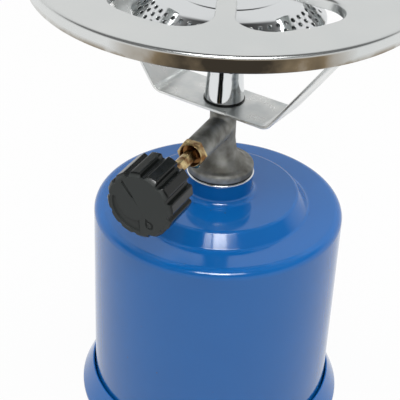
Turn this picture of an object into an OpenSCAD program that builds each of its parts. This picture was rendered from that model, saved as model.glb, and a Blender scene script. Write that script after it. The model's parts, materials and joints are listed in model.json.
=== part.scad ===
// Cartridge camping stove. A pierceable gas cartridge stands in a base pan, under a casing that turns
// into a bayonet. The valve screws into the casing's neck and carries the burner and the pan support.
// Millimetres, +Z up. The origin lies on the table under the burner's axis, and the valve's arm points
// along -Y.

/* [Cartridge] */
// Outside diameter of the gas cartridge
cartridge_d = 90; // [80:0.5:100]
// Height of the cartridge, from its foot to the top of its dome
cartridge_h = 85; // [70:0.5:110]
// Height of the dome above the cartridge's straight wall
cartridge_dome = 10; // [6:0.5:16]
// Sheet thickness of the cartridge
cartridge_t = 0.6; // [0.4:0.1:1]
// Diameter of the flat top that is pierced
pierce_flat_d = 22; // [14:1:30]

/* [Base pan] */
// Outside diameter of the base pan at its foot
base_d = 111.8; // [106:0.2:130]
// Height of the skirt round the casing
base_h = 14; // [12:0.5:20]
// Height of the widest part of the skirt
base_edge_h = 3.4; // [2.5:0.1:5]
// Height of the pan's floor above the table
floor_lift = 2.5; // [1.5:0.1:4]
// Diameter of the raised floor
floor_d = 88; // [80:0.5:94]

/* [Casing] */
// Sheet thickness of casing and base pan
sheet_t = 0.8; // [0.6:0.05:1.1]
// Room between the cartridge and the casing's wall
cartridge_gap = 4.2; // [3:0.1:7]
// Room between the cartridge's top and the casing's shoulder
headroom = 6.7; // [5:0.1:15]
// Width of the shoulder, from the wall to the foot of the step
shoulder_w = 14; // [10:0.5:18]
// Bend radius between wall and shoulder
shoulder_round = 3.8; // [2:0.1:6]
// Height of the step in the crown
step_rise = 5.7; // [5:0.1:9]
// Width of the step's slope
step_run = 4.6; // [3:0.1:7]
// Bend radius of the step
step_round = 1.8; // [1.2:0.1:3]
// Outside diameter of the drawn neck
neck_d = 26; // [25:0.2:30]
// Height of the neck above the crown
neck_rise = 8; // [6:0.1:10]
// Bend radius at the foot of the neck
neck_round = 2.6; // [1:0.1:4]

/* [Bayonet] */
// Number of bayonet lugs
lugs = 3; // [2:1:4]
// Angle that one lug takes up, in degrees
lug_angle = 18; // [12:1:24]
// Reach of a lug beyond the casing
lug_reach = 2.2; // [1.5:0.1:2.6]
// Height of the casing's lower edge above the table
casing_foot = 5; // [4.5:0.1:5.5]
// Clearance between casing and base pan
turn_gap = 0.4; // [0.3:0.05:0.6]

/* [Valve] */
// Outside diameter of the threaded spigot
spigot_d = 18; // [14:0.5:20]
// Length of the threaded bush in the neck
bush_len = 14; // [10:0.5:16]
// Thickness of the bush's lip
lip_t = 1.2; // [0.8:0.1:2]
// Diameter of the bush's lip
lip_d = 26.8; // [26.2:0.1:32]
// Diameter of the valve's flange
flange_d = 26.2; // [24:0.2:30]
// Height of the flange's edge
flange_h = 3.4; // [2:0.1:5]
// Diameter of the valve's body and neck
body_d = 10.4; // [10:0.1:12]
// Height of the bell above the flange
bell_h = 11; // [9:0.1:14]
// Height of the arm's axis above the flange's underside
arm_rise = 19.8; // [18:0.1:26]
// Diameter of the arm at its open end
arm_d = 10; // [9:0.1:12]
// Length of the arm from the burner's axis
arm_len = 24.8; // [20:0.1:28]
// Height of the clamping shoulder above the arm's axis
clamp_rise = 10.4; // [8.5:0.1:14]
// Diameter of the nipple that passes the bracket
nipple_d = 8; // [7:0.1:9]
// Height of the nipple above the clamping shoulder
nipple_h = 8; // [6:0.1:10]
// Diameter of the hollow needle
needle_d = 3; // [2:0.1:4]
// Depth to which the needle pierces the cartridge
pierce_depth = 3.5; // [2:0.1:5]
// Thickness of the cartridge seal
seal_t = 2.5; // [2:0.1:4]
// Outside diameter of the cartridge seal
seal_d = 12; // [9:0.1:13]

/* [Spindle and knob] */
// Diameter of the spindle
spindle_d = 5; // [4.5:0.1:5.8]
// Diameter of the bore in the arm
chamber_d = 6.6; // [6.2:0.1:7.2]
// Width of the gland nut across its flats
gland_af = 10; // [9.5:0.1:13]
// Length of the gland nut's hexagon
gland_len = 3.2; // [2.5:0.1:8]
// Bare length of the spindle between gland nut and knob
spindle_bare = 22.8; // [18:0.1:30]
// Depth of the spindle's flat
flat_depth = 0.6; // [0.5:0.05:1.2]
// Outward travel of the spindle from closed to open
spindle_travel = 1.6; // [0.8:0.1:2]
// Diameter of the knob over its lobes
knob_d = 26; // [22:0.5:34]
// Length of the knob
knob_len = 16.8; // [14:0.1:22]
// Number of lobes on the knob
knob_lobes = 12; // [8:1:16]
// Width of the grooves between the lobes
lobe_gap = 2.4; // [1:0.1:3]
// Depth of the straight sides of these grooves, above their round bottom
lobe_depth = 0.5; // [0.3:0.1:1]

/* [Burner] */
// Diameter of the mixing tube
tube_d = 13.8; // [12.8:0.1:17]
// Diameter of the tube's foot
tube_foot_d = 15.3; // [14:0.1:18]
// Height of the tube's conical foot
tube_foot_h = 10; // [8:0.1:12]
// Length of the mixing tube
tube_len = 26.5; // [25.5:0.1:34]
// Wall of the mixing tube
tube_wall = 1.2; // [0.8:0.05:1.5]
// Diameter of the air holes
air_hole_d = 6; // [4:0.1:6.5]
// Number of air holes
air_holes = 4; // [2:1:4]
// Outside diameter of the burner cap
cap_d = 72; // [64:0.5:80]
// Sheet thickness of cap and cup
cap_t = 0.8; // [0.6:0.05:1]
// Depth of the burner cup, from the cap's rim to the top of the tube
cup_depth = 9; // [7:0.1:14]
// Width of the cap's perforated cone
cone_w = 9; // [7:0.1:12]
// Height of the cap's perforated cone
cone_rise = 6.9; // [5:0.1:9]
// Rise of the cap's smooth crown
crown_rise = 4.3; // [2:0.1:6]
// Number of rows of ports
port_rows = 3; // [1:1:3]
// Number of ports in a row
ports_per_row = 50; // [20:1:54]
// Diameter of a port
port_d = 1.8; // [1:0.1:2]
// Distance between rows, measured across
row_pitch = 2.1; // [2.1:0.05:2.6]

/* [Pan support] */
// Outside diameter of the pan support
support_d = 147; // [136:0.5:170]
// Sheet thickness of the pan support
support_t = 1; // [0.8:0.05:1.2]
// Width of the ring outside the opening
ring_w = 18.2; // [15:0.1:24]
// Number of fingers
fingers = 6; // [4:1:7]
// Width of a finger
finger_w = 7.1; // [5:0.1:10]
// Distance of the fingers' tips from the axis
finger_tip = 26; // [14:0.5:32]
// Corner radius of the opening at the ring
corner_r = 11; // [5:0.1:12]
// Depth of the flange round the opening
flange_depth = 4.2; // [3:0.1:6]
// Height of the flange above the top of the burner cap
burner_gap = 1.8; // [1:0.1:12]
// Bend radius of the rim
rim_round = 1.3; // [1.2:0.1:4]
// Height of the rim
rim_h = 6.3; // [5:0.1:8]
// Turn of the first finger from the arm, in degrees
finger_turn = 22.5; // [-30:0.1:30]

/* [Bracket] */
// Width of the bracket's strip
strip_w = 21; // [17:0.1:26]
// Thickness of the bracket's strip
strip_t = 1.2; // [0.8:0.1:1.6]
// Length of the bracket's flat bottom
strip_foot = 49.6; // [40:0.1:60]
// Bend radius of the bracket
strip_round = 4; // [2:0.1:6]
// Distance of the bracket's welds inside the ring's inner edge
weld_inset = 6.1; // [4:0.1:10]
// Length of the bracket's weld flanges
weld_len = 8; // [5:0.1:9]
// Turn of the bracket away from square to the arm, in degrees
strip_turn = -7.8; // [-20:0.1:20]

/* [Hidden] */
$fn = 96;

// Fits: a close fit turns or slides, a free gap keeps moving pieces apart, a cut reaches past a face
close = 0.05;
free = 0.3;
cut = 1;
bend_steps = 6;

// Small fixed sizes
washer_t = 0.5;
washer_rim = 0.3;
seal_proud = 1;
needle_hold = 8;
needle_bore_r = 0.8;
seat_y = 4;
seat_r = 0.8;
pad_t = 2;
thread_len = 2.6;
packing_len = 1.8;
packing_washer_t = 0.6;
knob_wall = 2.2;
knob_edge = 1.3;
knob_phase = -66.5;
clip_t = 0.4;
clip_len = 7;
spindle_hold = 11;
jet_r = 1.9;
jet_head_r = 2.9;
jet_head_h = 3.5;
jet_hole_r = 0.3;
filter_t = 1;
cup_neck = 4;
skirt_h = 2.4;
stop_angle = 3;
stop_gap_angle = 0.6;

// Heights, from the table up
floor_z = floor_lift + sheet_t;
cartridge_top = floor_z + cartridge_h;
shoulder_z = cartridge_top + headroom;
crown_z = shoulder_z + step_rise;
neck_z = crown_z + neck_rise;
lip_z = neck_z + lip_t;
valve_z = lip_z + free;
arm_z = valve_z + arm_rise;
clamp_z = arm_z + clamp_rise;
plate_z = clamp_z + strip_t;
tube_z = plate_z + washer_t;
tube_top = tube_z + tube_len;
cap_rim_z = tube_top + cup_depth;
cap_top = cap_rim_z + cone_rise + crown_rise;
support_z = cap_top + burner_gap + flange_depth;
weld_z = support_z - support_t;

// Radii
casing_r = cartridge_d / 2 + cartridge_gap + sheet_t;
step_foot_r = casing_r - shoulder_w;
step_top_r = step_foot_r - step_run;
neck_r = neck_d / 2;
spigot_r = spigot_d / 2;
skirt_r = casing_r + turn_gap + sheet_t;
base_r = base_d / 2;
needle_r = needle_d / 2;
spindle_r = spindle_d / 2;
chamber_r = chamber_d / 2;
cap_r = cap_d / 2;
support_r = support_d / 2;
opening_r = support_r - ring_w;

// Bayonet: a lug lies under a hook and turns out from it, away from the stop
hook_z = casing_foot + sheet_t + turn_gap;
hook_angle = lug_angle / 2 + 3;

// Seal and needle
spigot_z = cartridge_top + free + seal_proud;
recess_z = spigot_z + seal_t - seal_proud + free;

// Spindle and knob, measured from the burner's axis along the arm
pad_y = seat_y + free;
spindle_y = pad_y + pad_t + close;
packing_y = spindle_y + thread_len + spindle_travel + free;
gland_y = packing_y + packing_len + packing_washer_t;
gland_face = arm_len + gland_len;
gland_mouth = gland_len - 0.5;
gland_ring_d = gland_af - 0.4;
gland_mouth_r = gland_ring_d / 2 - 0.6;
knob_back = gland_face + spindle_bare;
clip_w = 1.8 * sqrt(pow(spindle_r, 2) - pow(spindle_r - flat_depth + clip_t, 2));
knob_hub_r = spindle_r + 2.8;

// Burner
air_z = tube_z + tube_len * 0.6;
foot_bore_h = nipple_h - strip_t - washer_t;
cup_r = cap_r - cap_t - close;

// A corner turned into an arc: points from the line a-b to the line b-c, with bend radius r
function unit(v) = v / norm(v);
function polar(r, a) = r * [cos(a), sin(a)];
function arc(centre, r, a0, a1, steps = bend_steps) =
    [for (i = [0 : steps]) centre + polar(r, a0 + (a1 - a0) * i / steps)];
function corner(a, b, c, r) =
    let (u = unit(a - b), v = unit(c - b), half = acos(u * v) / 2,
         centre = b + unit(u + v) * r / sin(half),
         p = b + u * r / tan(half) - centre, q = b + v * r / tan(half) - centre,
         a0 = atan2(p.y, p.x), sweep = (atan2(q.y, q.x) - a0 + 540) % 360 - 180)
    arc(centre, r, a0, a0 + sweep);

// A line of points [x, y, bend radius] with its corners bent
function xy(p) = [p.x, p.y];
function bent(pts) =
    [for (i = [0 : len(pts) - 1])
        let (r = (i == 0 || i == len(pts) - 1) ? 0 : pts[i][2])
        each r > 0 ? corner(xy(pts[i - 1]), xy(pts[i]), xy(pts[i + 1]), r) : [xy(pts[i])]];

// The same line moved sideways by t, to the left of its direction
function left(a, b) = let (d = unit(b - a)) [-d.y, d.x];
function beside(line, t) =
    [for (i = [0 : len(line) - 1])
        let (n = i == 0 ? left(line[0], line[1]) : left(line[i - 1], line[i]),
             m = i == len(line) - 1 ? n : left(line[i], line[i + 1]))
        line[i] + (n + m) / (1 + n * m) * t];
function reversed(list) = [for (i = [len(list) - 1 : -1 : 0]) list[i]];

// Cross-section of a sheet whose face follows pts and whose thickness t lies to the left of them
module sheet(pts, t) {
    line = bent(pts);
    polygon(concat(line, reversed(beside(line, t))));
}

module ring(r_out, r_in, h) {
    difference() {
        cylinder(r = r_out, h = h);
        translate([0, 0, -cut]) cylinder(r = r_in, h = h + 2 * cut);
    }
}

// Places its children along the arm, with their +Z pointing out along -Y, from distance y on
module along_arm(y = 0) {
    translate([0, -y, arm_z]) rotate([90, 0, 0]) children();
}

// Opening of the pan support, a bay between each two fingers, grown by g on all sides
function opening(g) =
    let (half = 180 / fingers, h = finger_w / 2 - g, ro = opening_r + g, co = corner_r + g,
         ao = half - asin((h + co) / (ro - co)),
         side = concat(arc([0, 0], ro, 0, ao), arc(polar(ro - co, ao), co, ao, half + 90),
                       arc(polar(finger_tip + finger_w / 2, half), h, half - 90, half - 180)),
         bay = concat([for (p = reversed(side)) [p.x, -p.y]], side))
    [for (i = [0 : fingers - 1], p = bay)
        let (a = finger_turn - 90 + (2 * i + 1) * half) [p.x * cos(a) - p.y * sin(a), p.x * sin(a) + p.y * cos(a)]];

module base_pan() {
    foot_r = floor_d / 2 + 1.5 * floor_lift;
    slope = (base_r - skirt_r) / (base_h - base_edge_h);
    hook_out_r = base_r - sheet_t / 2 - (hook_z + sheet_t - base_edge_h) * slope;
    stop_start = -lug_angle / 2 - stop_gap_angle - stop_angle;
    color("royalblue") {
        rotate_extrude()
            sheet([[skirt_r, base_h], [base_r, base_edge_h, 3], [base_r - base_edge_h / 2, 0, 1.5],
                   [foot_r, 0, 1.2], [floor_d / 2, floor_lift, 1.2], [0, floor_lift]], -sheet_t);
        for (i = [0 : lugs - 1]) rotate(i * 360 / lugs) {
            rotate(stop_start) rotate_extrude(angle = hook_angle - stop_start)
                translate([casing_r + turn_gap, hook_z])
                square([hook_out_r - casing_r - turn_gap, sheet_t]);
            rotate(stop_start) rotate_extrude(angle = stop_angle)
                translate([casing_r + turn_gap, casing_foot])
                square([hook_out_r - casing_r - turn_gap, hook_z - casing_foot + sheet_t]);
        }
    }
}

module gas_cartridge() {
    wall_top = cartridge_top - cartridge_dome;
    color("lightsteelblue")
        rotate_extrude()
        sheet([[0, floor_z], [cartridge_d / 2, floor_z, 3], [cartridge_d / 2, wall_top, 3],
               [pierce_flat_d / 2, cartridge_top, 3], [needle_r + free, cartridge_top]], cartridge_t);
}

module casing() {
    color("royalblue") {
        rotate_extrude()
            sheet([[casing_r, casing_foot], [casing_r, shoulder_z, shoulder_round],
                   [step_foot_r, shoulder_z, step_round], [step_top_r, crown_z, step_round],
                   [neck_r, crown_z, neck_round], [neck_r, neck_z]], sheet_t);
        for (i = [0 : lugs - 1])
            rotate(i * 360 / lugs - lug_angle / 2) rotate_extrude(angle = lug_angle)
            translate([casing_r - sheet_t, casing_foot]) square([sheet_t + lug_reach, sheet_t]);
    }
}

module threaded_bush() {
    color("silver") {
        translate([0, 0, neck_z - bush_len]) ring(neck_r - sheet_t - close, spigot_r + close, bush_len);
        translate([0, 0, neck_z]) ring(lip_d / 2, spigot_r + close, lip_t);
    }
}

module valve_body() {
    flange_r = flange_d / 2;
    body_r = body_d / 2;
    bell_r = flange_r - 2.4;
    waist_r = body_r + 1;
    flange_top = valve_z + flange_h;
    outlet_y = seat_y + 2;
    outlet_z = clamp_z + strip_t;
    outlet_tilt = atan(outlet_y / (outlet_z - arm_z));
    color("darkgray") difference() {
        union() {
            rotate_extrude()
                polygon(bent([[0, spigot_z], [spigot_r, spigot_z, 0], [spigot_r, valve_z, 0],
                              [flange_r, valve_z, 0], [flange_r, flange_top, 1.2],
                              [bell_r, flange_top + 0.5, 1.2], [waist_r, flange_top + bell_h * 0.4, 5],
                              [body_r, flange_top + bell_h, 9],
                              [body_r, clamp_z, 0], [nipple_d / 2, clamp_z, 0],
                              [nipple_d / 2, clamp_z + nipple_h, 0], [0, clamp_z + nipple_h]]));
            along_arm() cylinder(r1 = body_r, r2 = arm_d / 2, h = arm_len);
        }
        translate([0, 0, spigot_z - cut]) cylinder(r = seal_d / 2 + close, h = recess_z - spigot_z + cut);
        translate([0, 0, recess_z - cut]) cylinder(r = needle_r, h = arm_z - recess_z + cut);
        along_arm() cylinder(r = seat_r, h = seat_y + cut);
        along_arm(seat_y) cylinder(r = chamber_r, h = arm_len);
        translate([0, -outlet_y, arm_z]) rotate([-outlet_tilt, 0, 0])
            cylinder(r = seat_r, h = norm([outlet_y, outlet_z - arm_z]));
        translate([0, 0, outlet_z]) cylinder(r = jet_r + close, h = nipple_h);
    }
}

module piercing_needle() {
    tip_z = cartridge_top - pierce_depth;
    top_z = recess_z + needle_hold;
    color("silver") difference() {
        translate([0, 0, tip_z]) cylinder(r = needle_r - close, h = top_z - tip_z);
        translate([0, 0, tip_z - cut]) cylinder(r = needle_bore_r, h = top_z - tip_z + 2 * cut);
        // slanted tip
        translate([0, 0, tip_z]) rotate([0, 45, 0])
            translate([-needle_d * 2, -needle_d, -needle_d * 2]) cube([needle_d * 4, needle_d * 2, needle_d * 2]);
    }
}

module cartridge_seal() {
    color("dimgray") translate([0, 0, cartridge_top + free]) ring(seal_d / 2, needle_r + close, seal_t);
}

module gland_nut() {
    corner_d = gland_af / cos(30);
    color("goldenrod") along_arm(gland_y) difference() {
        union() {
            cylinder(r = chamber_r - close, h = arm_len - gland_y);
            translate([0, 0, arm_len - gland_y]) intersection() {
                cylinder(d = corner_d, h = gland_len, $fn = 6);
                // chamfered corners at the open end
                cylinder(d1 = gland_ring_d + 3.2 * gland_len, d2 = gland_ring_d, h = gland_len);
            }
        }
        translate([0, 0, -cut]) cylinder(r = spindle_r + close, h = gland_face);
        translate([0, 0, gland_face - gland_y - gland_mouth]) cylinder(r = gland_mouth_r, h = gland_mouth + cut);
    }
}

module packing_washer() {
    color("goldenrod") along_arm(packing_y + packing_len)
        ring(chamber_r - close, spindle_r + close, packing_washer_t);
}

module spindle_packing() {
    color("dimgray") along_arm(packing_y) ring(chamber_r - close, spindle_r + close, packing_len);
}

module valve_pad() {
    color("dimgray") along_arm(pad_y) cylinder(r = chamber_r - 1, h = pad_t);
}

// Flat side of the spindle, cut at the given height above its axis
module spindle_flat(depth, from, to) {
    translate([-spindle_r - cut, spindle_r - depth, from - spindle_y])
        cube([2 * (spindle_r + cut), spindle_d, to - from]);
}

module spindle() {
    end_y = knob_back + spindle_hold;
    color("goldenrod") along_arm(spindle_y) rotate(knob_phase) difference() {
        union() {
            cylinder(r = chamber_r - close, h = thread_len);
            cylinder(r = spindle_r, h = end_y - spindle_y);
        }
        spindle_flat(flat_depth, gland_face - gland_mouth / 2 + free, end_y + cut);
    }
}

module knob() {
    r = knob_d / 2;
    depth = spindle_hold + clip_t;
    color([0.16, 0.17, 0.17]) along_arm(knob_back) rotate(knob_phase) difference() {
        intersection() {
            linear_extrude(knob_len) difference() {
                circle(r);
                for (i = [0 : knob_lobes - 1]) rotate(i * 360 / knob_lobes) {
                    translate([r - lobe_depth, -lobe_gap / 2]) square([lobe_depth + cut, lobe_gap]);
                    translate([r - lobe_depth, 0]) circle(d = lobe_gap);
                }
            }
            rotate_extrude()
                polygon(bent([[0, 0], [r, 0, 0.6], [r, knob_len - 1.2 * knob_edge, 0.5],
                              [r - knob_edge, knob_len, 0.4], [0, knob_len]]));
        }
        // hollow back round the hub
        translate([0, 0, -cut]) ring(r - lobe_depth - lobe_gap / 2 - knob_wall, knob_hub_r, knob_len - knob_wall + cut);
        difference() {
            translate([0, 0, -cut]) cylinder(r = spindle_r + close, h = depth + cut);
            translate([-spindle_r, spindle_r - flat_depth + clip_t + close, -2 * cut])
                cube([spindle_d, spindle_r, depth + 3 * cut]);
        }
    }
}

module knob_clip() {
    color("silver") along_arm(knob_back + (spindle_hold - clip_len) / 2) rotate(knob_phase)
        translate([-clip_w / 2, spindle_r - flat_depth, 0]) cube([clip_w, clip_t, clip_len]);
}

module jet() {
    seat_z = clamp_z + nipple_h;
    shank_z = plate_z + filter_t;
    color("goldenrod") difference() {
        union() {
            translate([0, 0, shank_z]) cylinder(r = jet_r, h = seat_z - shank_z + cut);
            translate([0, 0, seat_z]) cylinder(r = jet_head_r, h = jet_head_h);
        }
        translate([0, 0, shank_z - cut]) cylinder(r = jet_r / 2, h = seat_z - shank_z + jet_head_h);
        translate([0, 0, seat_z]) cylinder(r = jet_hole_r, h = jet_head_h + cut);
    }
}

module jet_filter() {
    color("gray") translate([0, 0, plate_z]) cylinder(r = jet_r, h = filter_t);
}

module pan_bracket() {
    half_foot = strip_foot / 2;
    weld_s = opening_r + weld_inset;
    color("gainsboro") rotate(strip_turn) difference() {
        translate([0, strip_w / 2, 0]) rotate([90, 0, 0]) linear_extrude(strip_w)
            sheet([[-weld_s - weld_len, weld_z], [-weld_s, weld_z, 2 * strip_t],
                   [-half_foot, plate_z, strip_round], [half_foot, plate_z, strip_round],
                   [weld_s, weld_z, 2 * strip_t], [weld_s + weld_len, weld_z]], -strip_t);
        translate([0, 0, clamp_z - cut]) cylinder(r = nipple_d / 2 + close, h = strip_t + 2 * cut);
    }
}

module tube_washer() {
    color("dimgray") translate([0, 0, plate_z]) ring(tube_foot_d / 2 + washer_rim, nipple_d / 2 + close, washer_t);
}

module burner_tube() {
    r = tube_d / 2;
    color("lightgray") difference() {
        union() {
            translate([0, 0, tube_z]) cylinder(r1 = tube_foot_d / 2, r2 = r, h = tube_foot_h);
            translate([0, 0, tube_z]) cylinder(r = r, h = tube_len);
        }
        translate([0, 0, tube_z - cut]) cylinder(r = nipple_d / 2 + close, h = foot_bore_h + 2 * cut);
        translate([0, 0, tube_z + foot_bore_h]) cylinder(r = r - tube_wall, h = tube_len);
        for (i = [0 : air_holes - 1]) translate([0, 0, air_z]) rotate([90, 0, 45 + i * 360 / air_holes])
            cylinder(d = air_hole_d, h = tube_d);
    }
}

module burner_cup() {
    neck_in = tube_d / 2 + close;
    bowl_r = cup_r - 1.5;
    color("lightgray") rotate_extrude()
        sheet([[neck_in + cap_t, tube_top - cup_neck], [neck_in + cap_t, tube_top - 1, 1.2],
               [bowl_r, cap_rim_z - cup_depth / 2, 2], [cup_r, cap_rim_z - cap_t]], cap_t);
}

module burner_cap() {
    cone_r = cap_r - cone_w;
    cone_angle = atan(cone_rise / cone_w);
    crown_r = cone_r / 2;
    crown_bend = 0.9 * crown_r / tan(atan(crown_rise / crown_r) / 2);
    color("silver") difference() {
        rotate_extrude()
            sheet([[cap_r, cap_rim_z - skirt_h], [cap_r, cap_rim_z, 1],
                   [cone_r, cap_rim_z + cone_rise, 4], [crown_r, cap_top, crown_bend], [0, cap_top]], cap_t);
        for (row = [0 : port_rows - 1], i = [0 : ports_per_row - 1]) {
            s = cone_w / 2 + 0.55 + (row - 1) * row_pitch;
            rotate((i + row % 2 / 2) * 360 / ports_per_row)
                translate([cap_r - s, 0, cap_rim_z + s * cone_rise / cone_w])
                rotate([0, cone_angle, 0]) translate([0, 0, -2 * cap_t]) cylinder(d = port_d, h = 3 * cap_t);
        }
    }
}

module pan_support() {
    flange_z = support_z - flange_depth;
    color("gainsboro") {
        difference() {
            rotate_extrude()
                sheet([[0, support_z], [support_r, support_z, rim_round],
                       [support_r, support_z - rim_h, 1.1], [support_r - 2.4, support_z - rim_h]], -support_t);
            translate([0, 0, support_z - support_t - cut]) linear_extrude(support_t + 2 * cut) polygon(opening(0));
        }
        translate([0, 0, flange_z]) linear_extrude(flange_depth - support_t / 2) difference() {
            polygon(opening(support_t));
            polygon(opening(0));
        }
    }
}

base_pan();
gas_cartridge();
casing();
threaded_bush();
valve_body();
piercing_needle();
cartridge_seal();
gland_nut();
packing_washer();
spindle_packing();
valve_pad();
spindle();
knob();
knob_clip();
jet();
jet_filter();
pan_bracket();
tube_washer();
burner_tube();
burner_cup();
burner_cap();
pan_support();
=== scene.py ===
"""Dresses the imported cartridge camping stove: pressings, castings, knob, finishes and studio."""

import json
import math
from functools import partial
from types import SimpleNamespace

import bmesh
import bpy
from bpy.props import FloatProperty, FloatVectorProperty, IntProperty, PointerProperty
from bpy.types import Operator, Panel, PropertyGroup
from mathutils import Color, Matrix, Vector


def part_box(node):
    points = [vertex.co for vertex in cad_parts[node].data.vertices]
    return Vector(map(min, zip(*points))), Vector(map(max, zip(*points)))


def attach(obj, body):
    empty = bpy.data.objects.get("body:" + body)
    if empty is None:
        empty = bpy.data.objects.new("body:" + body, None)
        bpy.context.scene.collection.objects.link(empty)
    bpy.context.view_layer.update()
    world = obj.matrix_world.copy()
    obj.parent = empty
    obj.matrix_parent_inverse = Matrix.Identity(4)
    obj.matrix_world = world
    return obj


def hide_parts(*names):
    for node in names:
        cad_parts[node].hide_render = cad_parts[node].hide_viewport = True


bl_info = {
    "name": "Cartridge camping stove",
    "version": (1, 0, 0),
    "blender": (4, 5, 0),
    "location": "View3D > Sidebar > Stove",
    "description": "Models and finishes the pieces of a cartridge camping stove round its CAD frame",
    "category": "Object",
}

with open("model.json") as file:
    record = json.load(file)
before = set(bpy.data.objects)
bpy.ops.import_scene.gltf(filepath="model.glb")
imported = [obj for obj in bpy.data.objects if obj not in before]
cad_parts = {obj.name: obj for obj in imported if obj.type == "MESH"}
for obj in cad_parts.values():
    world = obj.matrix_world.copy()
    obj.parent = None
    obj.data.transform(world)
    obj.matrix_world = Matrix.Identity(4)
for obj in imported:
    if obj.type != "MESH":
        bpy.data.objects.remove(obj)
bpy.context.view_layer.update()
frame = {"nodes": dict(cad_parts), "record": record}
MM = 0.001
TURN_STEPS = 192
BEND_STEPS = 8
THREAD_STEPS = 72
# In millimetres: the gaps of close and free fits, how far a cutting tool stands out, and the least edge kept
CLOSE_FIT = 0.05
FREE_GAP = 0.3
CUT = 1
SLIVER = 0.02
# A wave texture makes 20 / (2 pi) bands in each unit of its scale
WAVE_SCALE = math.tau / 20
# Direction to the photographer, on whose side the pan support's rim carries heat tint and a painted
# reflection of the dark room
PHOTOGRAPHER_SIDE = (0.438, -0.899, 0)
WHITE = (1, 1, 1, 1)
# Share of the floor's white that doesn't depend on the light, and the even light of the room on all pieces
FLOOR_GLOW = 0.95
FILL_LIGHT = 0.36


def linear(hex_colour):
    """Turns an sRGB hex value such as "3E67A3" to linear RGB."""
    channels = [int(hex_colour[i:i + 2], 16) / 255 for i in (0, 2, 4)]
    return [c / 12.92 if c <= 0.04045 else ((c + 0.055) / 1.055) ** 2.4 for c in channels]


def size(name, note, millimetres):
    """A length that a user can change, with its default given in millimetres."""
    return FloatProperty(name=name, description=note, default=millimetres * MM, min=0,
                         subtype="DISTANCE", unit="LENGTH", precision=5)


def angle(name, note, degrees):
    """An angle that a user can change, with its default given in degrees."""
    return FloatProperty(name=name, description=note, default=math.radians(degrees), subtype="ANGLE")


def count(name, note, number):
    """A number of repeats that a user can change."""
    return IntProperty(name=name, description=note, default=number, min=1)


def colour(name, note, hex_colour):
    """A colour that a user can change, with its default given as an sRGB hex value."""
    return FloatVectorProperty(name=name, description=note, default=linear(hex_colour), min=0, max=1,
                               subtype="COLOR", size=3)


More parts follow.
